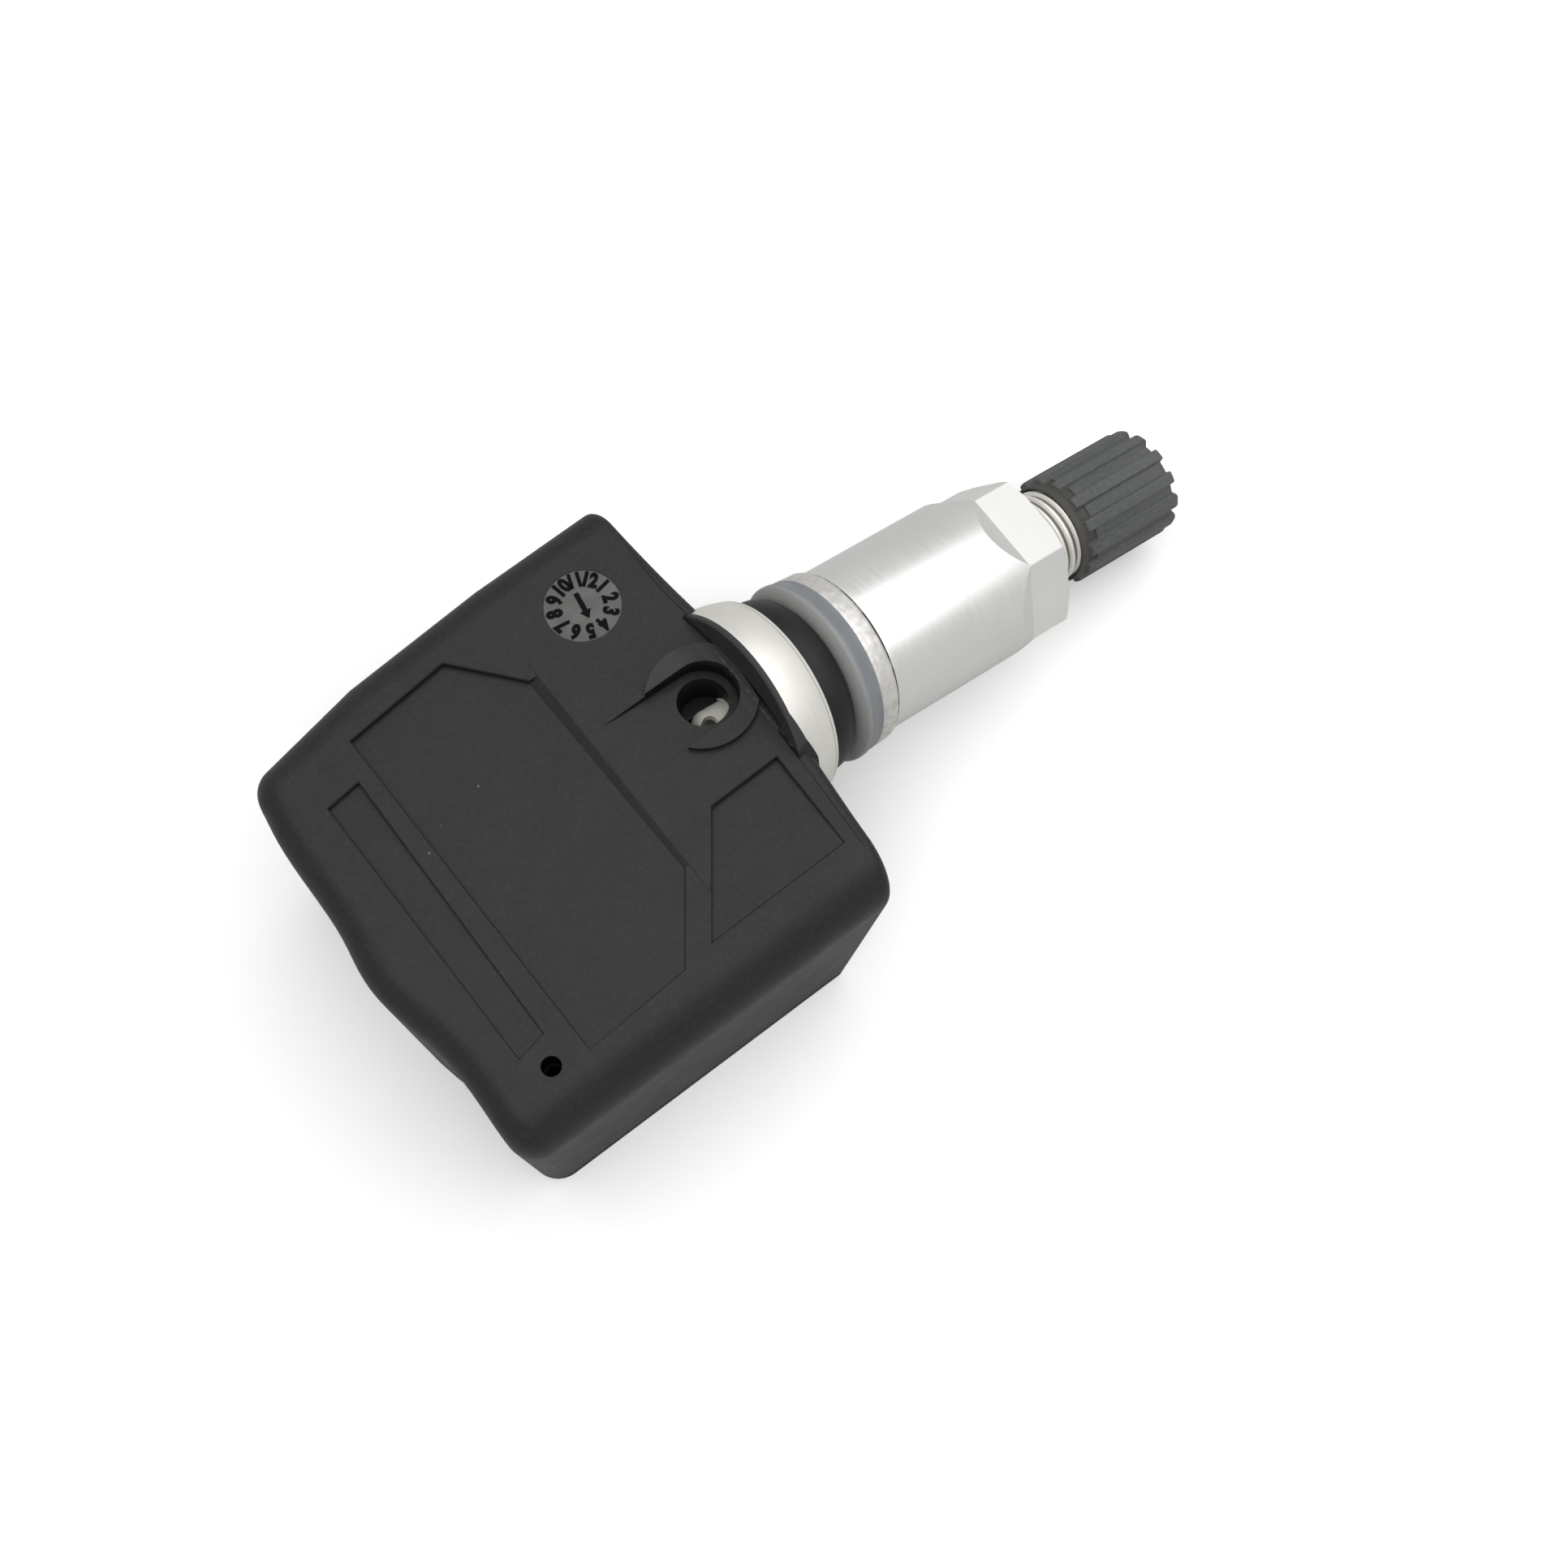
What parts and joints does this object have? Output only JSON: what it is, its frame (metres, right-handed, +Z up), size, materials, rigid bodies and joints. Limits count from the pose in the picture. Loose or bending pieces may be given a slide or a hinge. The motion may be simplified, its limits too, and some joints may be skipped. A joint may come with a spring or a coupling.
{
  "type": "tyre pressure sensor",
  "caption": "Black moulded tyre pressure sensor case with a tilted clamp-in metal valve, rubber grommet, washers, long hexagon nut and fluted dust cap.",
  "frame": {"origin": "on the flat underside of the base cover, in the upright plane through the valve axis", "axes": "+X is the way the valve points seen from above, +Z is up from the underside, and the valve axis lies in Y = 0, dipping 14.5 degrees"},
  "size_m": [0.0766, 0.0381, 0.0238],
  "materials": {
    "case_plastic": "fine moulded satin",
    "cover_plastic": "moulded satin",
    "board": "solder mask",
    "cell_steel": "drawn can",
    "tab_nickel": "plated strip",
    "chip_plastic": "moulded package",
    "seal_rubber": "soft matt",
    "ferrite": "sintered",
    "copper": "enamelled wire",
    "crystal_can": "lidded can",
    "ceramic": "fired ceramic",
    "stem_metal": "turned satin",
    "grommet_rubber": "smooth, slightly glossy",
    "nylon": "translucent moulding",
    "washer_metal": "stamped, rough sheared edge",
    "nut_metal": "satin turned and blasted",
    "cap_plastic": "moulded satin",
    "core_brass": "turned",
    "spring_steel": "drawn wire"
  },
  "bodies": {
    "sensor": {"housing": "case_plastic", "base_cover": "cover_plastic", "circuit_board": "board", "battery_cell": "cell_steel", "tab_positive": "tab_nickel", "tab_negative": "tab_nickel", "sensor_chip": "chip_plastic", "port_seal": "seal_rubber", "ferrite_core": "ferrite", "coil_winding": "copper", "crystal": "crystal_can", "capacitor_1": "ceramic", "capacitor_2": "ceramic", "capacitor_3": "ceramic", "valve_stem": "stem_metal", "grommet": "grommet_rubber", "plastic_washer": "nylon", "core_body": "core_brass", "core_gasket": "seal_rubber", "core_spring": "spring_steel"},
    "washer": {"metal_washer": "washer_metal"},
    "nut": {"valve_nut": "nut_metal"},
    "cap_disc": {"cap_seal": "seal_rubber"},
    "cap": {"valve_cap": "cap_plastic"},
    "valve_pin": {"core_pin": "core_brass", "core_seal": "seal_rubber"}
  },
  "joints": [
    {"name": "nut_travel", "type": "slide", "parent": "sensor", "child": "washer", "axis": [0.9681, 0, -0.2504], "range_m": [0, 0.0022]},
    {"name": "nut_turn", "type": "hinge", "parent": "washer", "child": "nut", "pos_m": [0.025, 0, 0.0127], "axis": [0.9681, 0, -0.2504], "range_deg": [0, 997.7]},
    {"name": "cap_travel", "type": "slide", "parent": "sensor", "child": "cap_disc", "axis": [0.9681, 0, -0.2504], "range_m": [0, 0.0082]},
    {"name": "cap_turn", "type": "hinge", "parent": "cap_disc", "child": "cap", "pos_m": [0.04649, 0, 0.00714], "axis": [0.9681, 0, -0.2504], "range_deg": [0, 3719.1]},
    {"name": "pin_press", "type": "slide", "parent": "sensor", "child": "valve_pin", "axis": [-0.9681, 0, 0.2504], "range_m": [0, 0.0013], "stiffness_N_per_m": 800, "springref_m": -0.002, "deforming": ["core_spring"]}
  ],
  "couplings": [
    {"joint": "nut_travel", "follows": "nut_turn", "m_per_rad": 0.00012633},
    {"joint": "cap_turn", "follows": "cap_travel", "rad_per_m": 7915.8}
  ]
}
